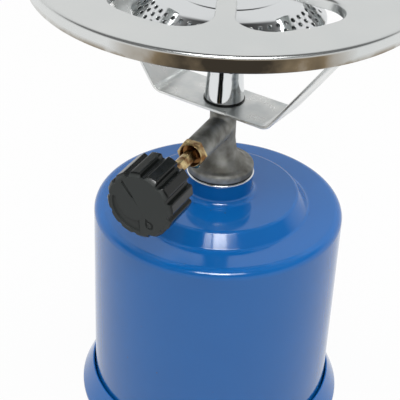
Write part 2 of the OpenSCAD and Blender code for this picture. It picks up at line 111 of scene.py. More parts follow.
class StoveSizes(PropertyGroup):
    """Sizes of the stove's pieces that the CAD boxes don't give."""

    sheet: size("Enamelled sheet", "Thickness of the casing and the base pan", 0.8)
    base_foot: size("Base radius", "Radius of the base pan where its skirt is widest, before the bend", 55.9)
    base_edge: size("Base edge height", "Height of the widest part of the skirt", 3.4)
    floor_lift: size("Floor height", "Height of the base pan's raised floor above the table", 2.5)
    floor_radius: size("Floor radius", "Radius of the base pan's raised floor", 44)
    turn_gap: size("Turning gap", "Clearance between the casing and the base pan", 0.4)
    lug_reach: size("Lug reach", "Reach of a bayonet lug beyond the casing's wall", 2.2)
    shoulder_bend: size("Shoulder bend", "Bend between the casing's wall and its shoulder", 3.8)
    shoulder_width: size("Shoulder width", "From the casing's wall to the foot of its step", 14)
    step_run: size("Step width", "Width of the slope in the casing's crown", 4.6)
    step_rise: size("Step height", "Height of the slope in the casing's crown", 5.7)
    step_bend: size("Step bend", "Bend at the head and foot of the slope", 1.8)
    neck: size("Neck radius", "Outside radius of the casing's drawn neck", 13)
    neck_rise: size("Neck height", "Height of the neck above the casing's crown", 8)
    neck_bend: size("Neck bend", "Bend at the foot of the neck", 2.6)
    spigot: size("Spigot radius", "Radius over the thread of the valve's spigot", 9)
    thread_pitch: size("Thread pitch", "Pitch of the thread between valve and casing", 1.5)
    flange_height: size("Valve flange height", "Height of the edge of the valve's flange", 3.4)
    bell_height: size("Bell height", "Height of the valve's bell above the flange", 11)
    body: size("Valve body radius", "Radius of the valve's body and neck", 5.2)
    arm_tip: size("Arm end radius", "Radius of the valve's arm at its open end", 5)
    nipple: size("Nipple radius", "Radius of the nipple that passes the bracket", 4)
    gland_mouth: size("Gland mouth radius", "Radius of the recess in the gland nut's face", 4.2)
    gland_depth: size("Gland mouth depth", "Depth of the recess in the gland nut's face", 2.7)
    spindle: size("Spindle radius", "Radius of the valve spindle", 2.5)
    spindle_thread: size("Spindle thread", "Radius over the thread of the spindle and the gland nut", 3.25)
    spindle_thread_length: size("Spindle thread length", "Length of the spindle's thread", 2.6)
    flat_depth: size("Flat depth", "Depth of the flat on the spindle", 0.6)
    lobe_gap: size("Knob groove width", "Width of the grooves between the knob's lobes", 2.4)
    lobe_depth: size("Knob groove depth", "Depth of the grooves between the knob's lobes", 1.7)
    knob_edge: size("Knob edge", "Width of the chamfer round the knob's face", 1.3)
    knob_wall: size("Knob wall", "Wall of the hollow knob", 2.2)
    knob_hub: size("Knob hub", "Radius of the hub in the hollow knob", 5.3)
    mark_depth: size("Mark depth", "Depth of the marks in the knob's face", 0.6)
    plate: size("Plated sheet", "Thickness of the pan support", 1.0)
    rim_bend: size("Rim bend", "Bend of the pan support's rim", 1.3)
    rim_curl: size("Rim curl", "Width of the rim's edge that is curled in", 2.4)
    opening: size("Opening radius", "Outer radius of the pan support's opening", 55.3)
    finger_tip: size("Finger tip", "Distance of the fingers' tips from the axis", 26)
    finger_width: size("Finger width", "Width of a finger of the pan support", 7.1)
    corner: size("Corner radius", "Radius of the opening's corners at the ring", 11)
    flange_depth: size("Flange depth", "Depth of the flange round the opening", 4.2)
    lip_bend: size("Lip bend", "Rounding of the edge of the opening", 1.2)
    strip_width: size("Strip width", "Width of the bracket's strip", 21)
    strip: size("Strip thickness", "Thickness of the bracket's strip", 1.2)
    strip_foot: size("Strip foot", "Half the length of the bracket's flat bottom", 24.8)
    strip_bend: size("Strip bend", "Bend of the bracket at its foot", 4)
    strip_top: size("Strip reach", "Distance of the bracket's upper bends from the axis", 61.4)
    weld_length: size("Weld flange", "Length of the bracket's flanges under the pan support", 8)
    tube: size("Tube radius", "Outside radius of the mixing tube", 6.9)
    tube_bore: size("Tube bore", "Inside radius of the mixing tube", 5.7)
    tube_foot: size("Tube foot", "Height of the mixing tube's conical foot", 10)
    socket_depth: size("Tube socket", "Depth of the narrow bore in the tube's foot", 6.3)
    air_hole: size("Air hole radius", "Radius of an air hole in the mixing tube", 3)
    air_height: size("Air hole height", "Height of the air holes above the tube's foot", 15.9)
    cap_sheet: size("Burner sheet", "Thickness of the burner's cap and cup", 0.8)
    cap_skirt: size("Cap skirt", "Height of the straight skirt of the burner cap", 2.4)
    cup_depth: size("Cup depth", "Depth of the burner cup, from the cap's rim to the tube's top", 9)
    cone_width: size("Port cone width", "Width of the cap's perforated cone", 9)
    cone_rise: size("Port cone height", "Height of the cap's perforated cone", 6.9)
    crease: size("Crease radius", "Radius of the crease round the cap's crown", 20)
    port: size("Port radius", "Radius of a gas port", 0.9)
    first_row: size("First row", "Distance of the first row of ports from the cap's rim, across", 2.95)
    row_pitch: size("Row pitch", "Distance between rows of ports, measured across", 2.1)
    lugs: count("Lugs", "Number of bayonet lugs", 3)
    fingers: count("Fingers", "Number of fingers of the pan support", 6)
    port_rows: count("Port rows", "Number of rows of gas ports", 3)
    ports: count("Ports", "Number of gas ports in a row", 50)
    air_holes: count("Air holes", "Number of air holes in the mixing tube", 4)
    lobes: count("Knob lobes", "Number of lobes on the knob", 12)
    lug_sweep: angle("Lug sweep", "Angle that a bayonet lug takes up", 18)
    finger_turn: angle("Finger turn", "Turn of the first finger away from the arm", 22.5)
    strip_turn: angle("Strip turn", "Turn of the bracket from square to the arm", -7.8)
    knob_turn: angle("Knob turn", "Direction of the spindle's flat when the valve is closed, from +X", 23.5)


class StoveColours(PropertyGroup):
    """Colours of the stove's finishes."""

    enamel: colour("Enamel", "Blue stoving enamel", "0A5494")
    enamel_deep: colour("Deep enamel", "The same enamel where it lies thicker", "09508F")
    plate: colour("Bright plate", "Nickel and chrome plate", "DEDFDD")
    plate_dull: colour("Dull plate", "The same plate where it is smudged", "CDD1D1")
    # Tarnish and soot also paint the reflection of the dark room in the rim's wall on the photographer's side
    tarnish: colour("Tarnish", "Brown heat tint on the plate", "84755E")
    soot: colour("Soot", "Burnt fat on the plate where it was hottest", "3C362E")
    zinc: colour("Zinc", "Tumbled zinc die casting", "9C9C97")
    zinc_dark: colour("Dark zinc", "Zinc that has dulled in its hollows", "74726B")
    brass: colour("Brass", "Turned brass", "CDB887")
    brass_dark: colour("Dark brass", "Brass that has browned", "7E5A36")
    knob: colour("Knob", "Black phenolic moulding", "0C0E0D")
    knob_worn: colour("Worn knob", "The same moulding where it is matt", "272A29")
    rubber: colour("Rubber", "Black nitrile rubber", "1B1B1B")
    rubber_dust: colour("Dusty rubber", "Rubber with its grey bloom", "2A2A29")
    steel: colour("Steel", "Bare spring steel", "9A9C9D")
    steel_dark: colour("Dark steel", "Blackened steel", "3C3C3D")
    floor: colour("Floor", "White studio floor", "B4B4B4")


def measures(context):
    """The stove's sizes in millimetres, its angles in degrees and its counts."""
    sizes = context.scene.stove_sizes
    result = SimpleNamespace()
    for name in StoveSizes.__annotations__:
        kind = sizes.bl_rna.properties[name]
        value = getattr(sizes, name)
        if kind.unit == "LENGTH":
            value /= MM
        elif kind.subtype == "ANGLE":
            value = math.degrees(value)
        setattr(result, name, value)
    return result


def low(node):
    """Lowest corner of a CAD node in millimetres."""
    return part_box(node)[0] / MM


def high(node):
    """Highest corner of a CAD node in millimetres."""
    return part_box(node)[1] / MM


# Mesh helpers


def polar(radius, degrees):
    """A point at a radius and an angle."""
    return radius * math.cos(math.radians(degrees)), radius * math.sin(math.radians(degrees))


def arc(centre, radius, start, end, steps=BEND_STEPS):
    """Points of an arc, in millimetres and degrees."""
    turns = [start + (end - start) * i / steps for i in range(steps + 1)]
    return [(centre[0] + x, centre[1] + y) for x, y in (polar(radius, turn) for turn in turns)]


def oblong(inner, outer, bottom, top):
    """Outline of an oblong between two distances and two heights."""
    return [(inner, bottom), (outer, bottom), (outer, top), (inner, top)]


def wire(bm, points, closed=False):
    """Joins (x, z) or (x, z, bend radius) points, in millimetres, in the XZ plane and rounds each bend."""
    corners = [Vector((x, 0, z)) for x, z, *_ in points]
    verts = [bm.verts.new(corner * MM) for corner in corners]
    for a, b in zip(verts, verts[1:] + verts[:1] if closed else verts[1:]):
        bm.edges.new((a, b))
    for i, (x, z, *bend) in enumerate(points):
        if bend:
            before = corners[i - 1] - corners[i]
            after = corners[(i + 1) % len(corners)] - corners[i]
            reach = bend[0] / math.tan(before.angle(after) / 2)
            bmesh.ops.bevel(bm, geom=[verts[i]], offset=reach * MM, offset_type="OFFSET", segments=BEND_STEPS,
                            profile=0.5, affect="VERTICES", material=-1)


def turned(points, closed=False, sweep=360, start=0, steps=TURN_STEPS):
    """Spins a profile about the Z axis, all the way round or over a sweep in degrees."""
    bm = bmesh.new()
    wire(bm, points, closed)
    spun(bm, start)
    if closed and sweep < 360:
        bmesh.ops.contextual_create(bm, geom=bm.edges)
    bmesh.ops.spin(bm, geom=bm.verts[:] + bm.edges[:] + bm.faces[:], axis=(0, 0, 1), steps=steps,
                   angle=math.radians(sweep), use_merge=sweep == 360)
    bmesh.ops.remove_doubles(bm, verts=bm.verts, dist=1e-6)
    bmesh.ops.recalc_face_normals(bm, faces=bm.faces)
    return bm


def prism(points, bottom, top, island=()):
    """Raises an outline of (x, y) points, round an island if there is one, in millimetres."""
    bm = bmesh.new()
    for outline in filter(None, (points, island)):
        verts = [bm.verts.new((x * MM, y * MM, bottom * MM)) for x, y in outline]
        for a, b in zip(verts, verts[1:] + verts[:1]):
            bm.edges.new((a, b))
    if island:
        bmesh.ops.bridge_loops(bm, edges=bm.edges)
    else:
        bmesh.ops.contextual_create(bm, geom=bm.edges)
    raised = bmesh.ops.extrude_face_region(bm, geom=bm.faces)["geom"]
    bmesh.ops.translate(bm, vec=(0, 0, (top - bottom) * MM),
                        verts=[v for v in raised if isinstance(v, bmesh.types.BMVert)])
    bmesh.ops.recalc_face_normals(bm, faces=bm.faces)
    return bm


def rod(radius, bottom, top, segments=48):
    """An upright round bar, in millimetres."""
    bm = bmesh.new()
    bmesh.ops.create_cone(bm, cap_ends=True, segments=segments, radius1=radius * MM, radius2=radius * MM,
                          depth=(top - bottom) * MM)
    bmesh.ops.translate(bm, vec=(0, 0, (top + bottom) / 2 * MM), verts=bm.verts)
    return bm


def spun(bm, degrees):
    """Turns a bmesh about the Z axis."""
    bmesh.ops.rotate(bm, verts=bm.verts, matrix=Matrix.Rotation(math.radians(degrees), 3, "Z"))
    return bm


def arm_height():
    """Height of the valve arm's axis in metres."""
    return (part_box("spindle")[0].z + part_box("spindle")[1].z) / 2


def along_arm(bm):
    """Lays a shape that was made up along +Z, from the burner's axis on, along the valve's arm to -Y."""
    lift = Matrix.Translation((0, 0, arm_height()))
    bmesh.ops.transform(bm, matrix=lift @ Matrix.Rotation(math.radians(90), 4, "X"), verts=bm.verts)
    return bm


def add_object(name, bm):
    """Puts a bmesh into the scene as a new object at the origin."""
    mesh = bpy.data.meshes.new(name)
    bm.to_mesh(mesh)
    bm.free()
    mesh.shade_smooth()
    piece = bpy.data.objects.new(name, mesh)
    bpy.context.collection.objects.link(piece)
    return piece


def joined(*shapes):
    """Puts several shapes into one, each as a shell of its own."""
    whole = bmesh.new()
    for bm in shapes:
        part = bpy.data.meshes.new("shell")
        bm.to_mesh(part)
        bm.free()
        whole.from_mesh(part)
        bpy.data.meshes.remove(part)
    return whole


def add_shell(piece, bm):
    """Adds a further closed shell to a piece."""
    own = bmesh.new()
    own.from_mesh(piece.data)
    whole = joined(own, bm)
    whole.to_mesh(piece.data)
    whole.free()
    piece.data.shade_smooth()


def apply(piece, modifier):
    """Applies one modifier of a piece."""
    with bpy.context.temp_override(object=piece, active_object=piece, selected_objects=[piece]):
        bpy.ops.object.modifier_apply(modifier=modifier.name)


def combine(piece, tool_bm, operation):
    """Cuts a tool from a piece, adds it or keeps what both share, and clears the slivers away."""
    tool = add_object("tool", tool_bm)
    modifier = piece.modifiers.new("combine", "BOOLEAN")
    modifier.object = tool
    modifier.operation = operation
    modifier.solver = "EXACT"
    apply(piece, modifier)
    bpy.data.objects.remove(tool)
    clean = bmesh.new()
    clean.from_mesh(piece.data)
    bmesh.ops.remove_doubles(clean, verts=clean.verts, dist=SLIVER * MM)
    bmesh.ops.dissolve_degenerate(clean, edges=clean.edges, dist=SLIVER * MM)
    clean.to_mesh(piece.data)
    clean.free()


def thicken(piece, millimetres):
    """Gives a sheet its thickness behind its outer face."""
    modifier = piece.modifiers.new("sheet", "SOLIDIFY")
    modifier.thickness = millimetres * MM
    modifier.offset = -1
    modifier.use_even_offset = True
    apply(piece, modifier)


def ease_edges(piece, millimetres, degrees=40, segments=2):
    """Rounds the sharp edges of a piece and keeps its large faces flat."""
    modifier = piece.modifiers.new("edges", "BEVEL")
    modifier.width = millimetres * MM
    modifier.segments = segments
    modifier.use_clamp_overlap = False
    modifier.limit_method = "ANGLE"
    modifier.angle_limit = math.radians(degrees)
    weld = piece.modifiers.new("weld", "WELD")
    weld.merge_threshold = SLIVER / 10 * MM
    normals = piece.modifiers.new("normals", "WEIGHTED_NORMAL")
    normals.keep_sharp = True


def place(piece, node, material):
    """Lets a piece stand for a CAD node: it rides on the node's body and has the node's finish."""
    record = frame["record"]
    body = next(name for name, nodes in record["behaviour"]["bodies"].items() if node in nodes)
    piece.data.materials.clear()
    piece.data.materials.append(material)
    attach(piece, body)
    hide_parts(node)


# Materials


def feed(tree, socket, value):
    """Gives a socket a value, or a link from another socket or from a node's first live output."""
    if isinstance(value, bpy.types.Node):
        value = next(output for output in value.outputs if output.enabled)
    if isinstance(value, bpy.types.NodeSocket):
        tree.links.new(value, socket)
    elif isinstance(value, Color):
        socket.default_value = (*value, 1)
    else:
        socket.default_value = value


def add_node(tree, kind, inputs=(), **settings):
    """Adds a shader node with its settings and feeds its inputs, which come in order or by name or number."""
    node = tree.nodes.new("ShaderNode" + kind)
    for key, value in settings.items():
        setattr(node, key, value)
    for key, value in inputs.items() if isinstance(inputs, dict) else enumerate(inputs):
        feed(tree, node.inputs[key], value)
    return node


def every(millimetres):
    """Scale of a texture whose pattern is about so many millimetres wide."""
    return 1 / (millimetres * MM)


def material(name, build):
    """The material of that name, made on its first use: build adds nodes and returns the shader's inputs."""
    made = bpy.data.materials.get(name)
    if not made:
        made = bpy.data.materials.new(name)
        made.use_nodes = True
        tree = made.node_tree
        add = partial(add_node, tree)
        where = add("TexCoord").outputs["Object"]
        for key, value in build(add, where).items():
            feed(tree, tree.nodes["Principled BSDF"].inputs[key], value)
    return made


def mottled(name, tones, patch, grain, polish, bump, spread=(0, 1), worn=(0.3, 0.7), detail=3, metallic=1):
    """A material that changes between two tones and two roughnesses in patches, and has a fine grain.

    Patch and grain are widths in millimetres, and bump is the grain's strength and its depth in millimetres.
    Spread and worn are the levels of the patches between which tone and roughness change.
    """

    def build(add, where):
        patches = add("TexNoise", {"Vector": where, "Scale": every(patch), "Detail": detail})
        grains = add("TexNoise", {"Vector": where, "Scale": every(grain)})
        dull = add("MapRange", (patches, *spread, 0, 1))
        strength, depth = bump
        return {
            "Base Color": add("Mix", {0: dull, 6: tones[0], 7: tones[1]}, data_type="RGBA"),
            "Metallic": metallic,
            "Roughness": add("MapRange", (patches, *worn, *polish)),
            "Normal": add("Bump", {"Height": grains, "Strength": strength, "Distance": depth * MM}),
        }

    return material(name, build)


def enamel(colours):
    """Stoving enamel."""

    # Sprayed on pressed steel and baked: a deep gloss with a faint orange peel about 3 mm wide, soft
    # smudges in the shine and a few specks of dust, drawn coarse enough to show.
    def build(add, where):
        peel = add("TexNoise", {"Vector": where, "Scale": every(3)})
        smudge = add("TexNoise", {"Vector": where, "Scale": every(22), "Detail": 3})
        sparse = add("TexNoise", {"Vector": where, "Scale": every(30)})
        cells = add("TexVoronoi", {"Vector": where, "Scale": every(9)})
        speck = add("MapRange", (cells, 0.03, 0.05, 1, 0))
        rare = add("MapRange", (sparse, 0.5, 0.56, 0, 0.6))
        dust = add("Math", (speck, rare), operation="MULTIPLY")
        coat = add("Mix", {0: smudge, 6: colours.enamel, 7: colours.enamel_deep}, data_type="RGBA")
        return {
            "Base Color": add("Mix", {0: dust, 6: coat, 7: colours.steel_dark}, data_type="RGBA"),
            "Roughness": add("MapRange", (smudge, 0.3, 0.7, 0.09, 0.13)),
            "IOR": 1.52,
            "Normal": add("Bump", {"Height": peel, "Strength": 0.05, "Distance": 0.1 * MM}),
        }

    return material("stoving_enamel", build)


def plating(name, colours, polish):
    """Nickel-chrome plate between two roughnesses."""

    # Electroplated on pressed steel: slightly wavy from the press, with fingerprints and wipe marks about
    # 9 mm wide in its shine. The waves are about 26 mm wide.
    return mottled(name, (colours.plate, colours.plate_dull), 9, 26, polish, bump=(0.06, 0.6),
                   spread=(0.4, 0.7), worn=(0.35, 0.7), detail=4)


def plate(colours):
    """Polished plate, a near mirror."""
    return plating("bright_plate", colours, polish=(0.1, 0.17))


def satin_plate(colours):
    """Plate on unpolished strip."""
    return plating("satin_plate", colours, polish=(0.26, 0.36))


def dark_rim_plate(colours, rim_radius, rim_top, rim_foot):
    """Satin plate with a rim browned by heat tint and by a painted reflection of the dark room."""

    # The same plate on coarser steel: satin, with a fine grain about 0.8 mm wide and faint wipe marks.
    # Heat tint and a painted reflection of the dark room brown the wall of the rim on the photographer's
    # side, in clouds about 12 mm wide that turn black where darkest. The bend above stays bare, and the wall
    # grows patchily darker towards its foot.
    def build(add, where):
        grain = add("TexNoise", {"Vector": where, "Scale": every(0.8)})
        wiped = add("TexNoise", {"Vector": where, "Scale": every(30), "Detail": 3})
        cloud = add("TexNoise", {"Vector": where, "Scale": every(12), "Detail": 5})
        height = add("SeparateXYZ", (where,)).outputs["Z"]
        flat = add("VectorMath", (where, (1, 1, 0)), operation="MULTIPLY")
        reach = add("VectorMath", (flat,), operation="LENGTH")
        facing = add("VectorMath", (flat, PHOTOGRAPHER_SIDE), operation="DOT_PRODUCT")
        outside = add("MapRange", (reach, (rim_radius - 3) * MM, (rim_radius - 2) * MM, 0, 1))
        below = add("MapRange", (height, (rim_top - 0.9) * MM, (rim_top - 1.4) * MM, 0, 1))
        edge = add("Math", (outside, below), operation="MULTIPLY")
        # Painted reflection: the wall facing the photographer turns brown and black for the dark room
        # mirrored there, besides its heat tint
        side = add("MapRange", (facing, 0.84 * rim_radius * MM, 0.99 * rim_radius * MM, 0, 1))
        # The wall grows patchily darker towards its foot all round
        foot = add("MapRange", (height, (rim_foot + 2.6) * MM, (rim_foot + 0.4) * MM, 0, 0.55))
        blotch = add("MapRange", (cloud, 0.42, 0.58, 0.15, 1))
        foot_darkening = add("Math", (foot, blotch), operation="MULTIPLY")
        worst = add("Math", (side, foot_darkening), operation="MAXIMUM")
        patchy = add("MapRange", (cloud, 0.3, 0.7, 0.65, 1.2))
        ring = add("Math", (edge, worst), operation="MULTIPLY")
        stain = add("Math", (ring, patchy), operation="MULTIPLY")
        tint = add("MapRange", (stain, 0, 0.6, 0, 1))
        # The darkest, black part of the stain is mostly painted reflection of the dark room
        blackest = add("MapRange", (stain, 0.55, 0.95, 0, 1))
        bare = add("Mix", {0: wiped, 6: colours.plate, 7: colours.plate_dull}, data_type="RGBA")
        brown = add("Mix", {0: tint, 6: bare, 7: colours.tarnish}, data_type="RGBA")
        return {
            "Base Color": add("Mix", {0: blackest, 6: brown, 7: colours.soot}, data_type="RGBA"),
            "Metallic": 1,
            "Roughness": add("MapRange", (stain, 0, 1, 0.24, 0.45)),
            "Normal": add("Bump", {"Height": grain, "Strength": 0.05, "Distance": 0.03 * MM}),
        }

    return material("heat_stained_plate", build)


def zinc(colours):
    """Zinc die casting."""

    # Cast and tumbled: a satin grey with a fine skin, grains about 0.7 mm wide so that they show, and
    # duller patches about 6 mm wide.
    return mottled("zinc_casting", (colours.zinc, colours.zinc_dark), 6, 0.7, polish=(0.54, 0.66),
                   bump=(0.25, 0.12), spread=(0.38, 0.66))


def brass(colours):
    """Turned brass."""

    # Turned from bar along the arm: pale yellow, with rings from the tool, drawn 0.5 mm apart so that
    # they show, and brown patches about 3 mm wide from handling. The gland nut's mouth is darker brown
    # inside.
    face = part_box("gland_nut")[0].y
    mouth = bpy.context.scene.stove_sizes.gland_mouth

    def build(add, where):
        patch = add("TexNoise", {"Vector": where, "Scale": every(3), "Detail": 3})
        rings = add("TexWave", {"Vector": where, "Scale": every(0.5) * WAVE_SCALE}, bands_direction="Y")
        handled = add("MapRange", (patch, 0.36, 0.62, 0, 1))
        offset = add("VectorMath", (where, (0, 0, arm_height())), operation="SUBTRACT")
        across = add("VectorMath", (offset, (1, 0, 1)), operation="MULTIPLY")
        radius = add("VectorMath", (across,), operation="LENGTH")
        depth = add("SeparateXYZ", (where,)).outputs["Y"]
        # Darker brown inside the gland nut's mouth, from just behind its face inwards
        inside = add("MapRange", (radius, mouth + 0.15 * MM, mouth - CLOSE_FIT * MM, 0, 1))
        deep = add("MapRange", (depth, face - 0.2 * MM, face + 0.8 * MM, 0, 1))
        mouth_darkening = add("Math", (inside, deep), operation="MULTIPLY")
        browned = add("Math", (handled, mouth_darkening), operation="MAXIMUM")
        return {
            "Base Color": add("Mix", {0: browned, 6: colours.brass, 7: colours.brass_dark}, data_type="RGBA"),
            "Metallic": 1,
            "Roughness": add("MapRange", (patch, 0.3, 0.7, 0.22, 0.36)),
            "Normal": add("Bump", {"Height": rings.outputs["Fac"], "Strength": 0.12, "Distance": 0.03 * MM}),
        }

    return material("turned_brass", build)


def moulding(colours, face):
    """Black phenolic with a matt face."""

    # Compression moulded: the grips are polished, with patches about 5 mm wide that hands have rubbed, and
    # the face has the fine matt grain of the tool, drawn 0.6 mm wide.
    def build(add, where):
        rubbed = add("TexNoise", {"Vector": where, "Scale": every(5), "Detail": 3})
        grain = add("TexNoise", {"Vector": where, "Scale": every(0.6)})
        depth = add("SeparateXYZ", (where,)).outputs["Y"]
        matt = add("MapRange", (depth, (0.5 - face) * MM, (1.2 - face) * MM, 1, 0))
        worn = add("MapRange", (rubbed, 0.4, 0.8, 0, 0.15))
        grey = add("Math", (matt, worn), operation="MAXIMUM")
        return {
            "Base Color": add("Mix", {0: grey, 6: colours.knob, 7: colours.knob_worn}, data_type="RGBA"),
            "Roughness": add("MapRange", (grey, 0, 1, 0.2, 0.6)),
            "IOR": 1.36,
            "Normal": add("Bump", {"Height": grain, "Strength": 0.12, "Distance": 0.08 * MM}),
        }

    return material("phenolic_moulding", build)


def rubber(colours):
    """Nitrile rubber."""

    # Moulded: dull black with a grey bloom in patches about 3 mm wide and a fine grain.
    return mottled("nitrile_rubber", (colours.rubber, colours.rubber_dust), 3, 0.4, polish=(0.6, 0.75),
                   bump=(0.2, 0.05), metallic=0)


def bare_steel(name, tones):
    """Drawn or rolled steel between two tones."""

    # Rolled: satin metal with grain about 1 mm wide and slightly duller patches.
    return mottled(name, tones, 2.5, 1, polish=(0.28, 0.42), bump=(0.1, 0.05))


def steel(colours):
    """Spring steel."""
    return bare_steel("spring_steel", (colours.steel, colours.plate_dull))


def dark_steel_and_shade(colours):
    """Blackened steel, dark enough to also stand for the contact shadow at the tube's foot."""
    return bare_steel("blackened_steel", (colours.steel_dark, colours.rubber_dust))


# Pieces


class STOVE_OT_base(Operator):
    """Base pan with its flared skirt, raised floor and bayonet hooks"""

    bl_idname = "stove.base"
    bl_label = "Base pan"

    def execute(self, context):
        s = measures(context)
        top = high("base_pan").z
        wall = high("casing").y
        rim = wall + s.turn_gap + s.sheet
        foot = s.floor_radius + 1.5 * s.floor_lift
        skirt_bend, edge_bend, floor_bend = 3, 1.5, 1.2
        pan = turned([(rim, top), (s.base_foot, s.base_edge, skirt_bend),
                      (s.base_foot - s.base_edge / 2, 0, edge_bend), (foot, 0, floor_bend),
                      (s.floor_radius, s.floor_lift, floor_bend), (0, s.floor_lift)])
        piece = add_object("base_pan_pressing", pan)
        thicken(piece, s.sheet)

        lug_z = low("casing").z
        hook_z = lug_z + s.sheet + s.turn_gap
        hook_top = hook_z + s.sheet
        slope = (s.base_foot - rim) / (top - s.base_edge)
        inner, outer = wall + s.turn_gap, s.base_foot - s.sheet / 2 - (hook_top - s.base_edge) * slope
        hook = oblong(inner, outer, hook_z, hook_top)
        stop = oblong(inner + CLOSE_FIT, outer - CLOSE_FIT, lug_z, hook_z + s.sheet / 2)
        hook_start, hook_end = -s.lug_sweep / 2 - 3.6, s.lug_sweep / 2 + 3
        stop_inset, stop_sweep = 0.1, 3
        for i in range(s.lugs):
            start = hook_start + 360 * i / s.lugs
            add_shell(piece, turned(hook, closed=True, sweep=hook_end - hook_start, start=start, steps=24))
            add_shell(piece, turned(stop, closed=True, sweep=stop_sweep, start=start + stop_inset, steps=4))
        ease_edges(piece, 0.25)
        place(piece, "base_pan", enamel(context.scene.stove_colours))
        return {"FINISHED"}


class STOVE_OT_casing(Operator):
    """Casing with its shoulder, step, crown, neck and lugs, and the threaded bush in the neck"""

    bl_idname = "stove.casing"
    bl_label = "Casing"

    def execute(self, context):
        s = measures(context)
        colours = context.scene.stove_colours
        foot, neck_top = low("casing").z, high("casing").z
        wall = high("casing").y
        step_foot = wall - s.shoulder_width
        step_top = step_foot - s.step_run
        crown = neck_top - s.neck_rise
        shoulder = crown - s.step_rise
        can = turned([(wall, foot), (wall, shoulder, s.shoulder_bend), (step_foot, shoulder, s.step_bend),
                      (step_top, crown, s.step_bend), (s.neck, crown, s.neck_bend), (s.neck, neck_top)])
        piece = add_object("casing_pressing", can)
        thicken(piece, s.sheet)
        lug = oblong(wall - s.sheet / 2, wall + s.lug_reach, foot, foot + s.sheet)
        for i in range(s.lugs):
            start = 360 * i / s.lugs - s.lug_sweep / 2
            add_shell(piece, turned(lug, closed=True, sweep=s.lug_sweep, start=start, steps=18))
        ease_edges(piece, 0.2)
        place(piece, "casing", enamel(colours))

        lip = high("threaded_bush").x
        bore = s.spigot + CLOSE_FIT
        body = s.neck - s.sheet - CLOSE_FIT
        bush_low, bush_top = low("threaded_bush").z, high("threaded_bush").z
        bush = turned([(bore, bush_low), (body, bush_low), (body, neck_top), (lip, neck_top, 0.3),
                       (lip, bush_top, 0.5), (bore, bush_top, 0.4)], closed=True)
        piece = add_object("threaded_bush_turning", bush)
        ease_edges(piece, 0.1)
        place(piece, "threaded_bush", plate(colours))
        return {"FINISHED"}


def thread(crest, depth, pitch, start, turns):
    """A right-handed thread ridge round the Z axis, in millimetres."""
    bm = bmesh.new()
    root, foot, land = crest - depth, pitch * 0.42, 0.1
    wire(bm, [(root, start - foot), (crest, start - land), (crest, start + land), (root, start + foot)],
         closed=True)
    bmesh.ops.contextual_create(bm, geom=bm.edges)
    steps = round(THREAD_STEPS * turns)
    bmesh.ops.spin(bm, geom=bm.verts[:] + bm.edges[:] + bm.faces[:], axis=(0, 0, 1), steps=steps,
                   angle=math.tau * turns, dvec=(0, 0, pitch * turns / steps * MM))
    bmesh.ops.recalc_face_normals(bm, faces=bm.faces)
    return bm


class STOVE_OT_valve(Operator):
    """Valve casting with its threaded spigot, bell and arm, and the gland nut"""

    bl_idname = "stove.valve"
    bl_label = "Valve"

    def execute(self, context):
        s = measures(context)
        colours = context.scene.stove_colours
        spigot_low, nipple_top = low("valve_body").z, high("valve_body").z
        arm_end = -low("valve_body").y
        flange_r = high("valve_body").x
        flange = high("threaded_bush").z + FREE_GAP
        flange_top = flange + s.flange_height
        clamp = low("pan_bracket").z
        bell_r, bell_z = flange_r - 2.4, flange_top + 0.5
        waist_r, waist_z = s.body + 1, flange_top + s.bell_height * 0.4
        core = s.spigot - 0.9
        bell = turned([(0, spigot_low), (core, spigot_low), (core, flange), (flange_r, flange, 0.4),
                       (flange_r, flange_top, 1.2), (bell_r, bell_z, 1.2), (waist_r, waist_z, 5),
                       (s.body, flange_top + s.bell_height, 9), (s.body, clamp), (s.nipple, clamp),
                       (s.nipple, nipple_top), (0, nipple_top)])
        piece = add_object("valve_casting", bell)
        arm = turned([(0, 0), (s.body, 0), (s.arm_tip, arm_end, 0.3), (0, arm_end)])
        combine(piece, along_arm(arm), "UNION")
        turns = math.floor((flange - spigot_low) / s.thread_pitch) - 1
        ridge = s.spigot - core + FREE_GAP
        combine(piece, thread(s.spigot, ridge, s.thread_pitch, spigot_low + s.thread_pitch, turns), "UNION")
        skin = piece.modifiers.new("skin", "REMESH")
        skin.mode = "VOXEL"
        skin.voxel_size = 0.3 * MM
        skin.use_smooth_shade = True
        apply(piece, skin)
        soften = piece.modifiers.new("soften", "SMOOTH")
        soften.factor = 0.5
        soften.iterations = 6
        apply(piece, soften)
        place(piece, "valve_body", zinc(colours))

        nut_low, nut_face = -high("gland_nut").y, -low("gland_nut").y
        flats = high("gland_nut").z - low("gland_nut").z
        corner = flats / 2 / math.cos(math.radians(30))
        nut = prism([polar(corner, 60 * i) for i in range(6)], arm_end, nut_face)
        piece = add_object("gland_nut_turning", along_arm(nut))
        ring, chamfer, edge = flats / 2 - 0.2, 0.85, 0.3
        envelope = turned([(0, arm_end - CUT), (2 * corner, arm_end - CUT),
                           (corner + 0.2, nut_face - chamfer), (ring, nut_face - edge, 0.5),
                           (ring - 0.4, nut_face, edge), (0, nut_face)])
        combine(piece, along_arm(envelope), "INTERSECT")
        shank = turned(oblong(0, s.spindle_thread, nut_low, arm_end + FREE_GAP))
        combine(piece, along_arm(shank), "UNION")
        bore, bore_start = s.spindle + CLOSE_FIT, nut_low - CUT
        mouth, mouth_low, mouth_top = s.gland_mouth, nut_face - s.gland_depth, nut_face + 0.1
        recess = turned([(0, bore_start), (bore, bore_start), (bore, mouth_low), (mouth, mouth_low + edge),
                         (mouth, nut_face - 0.35, edge), (mouth + edge, mouth_top), (0, mouth_top)])
        combine(piece, along_arm(recess), "DIFFERENCE")
        ease_edges(piece, 0.12, degrees=25)
        place(piece, "gland_nut", brass(colours))
        return {"FINISHED"}


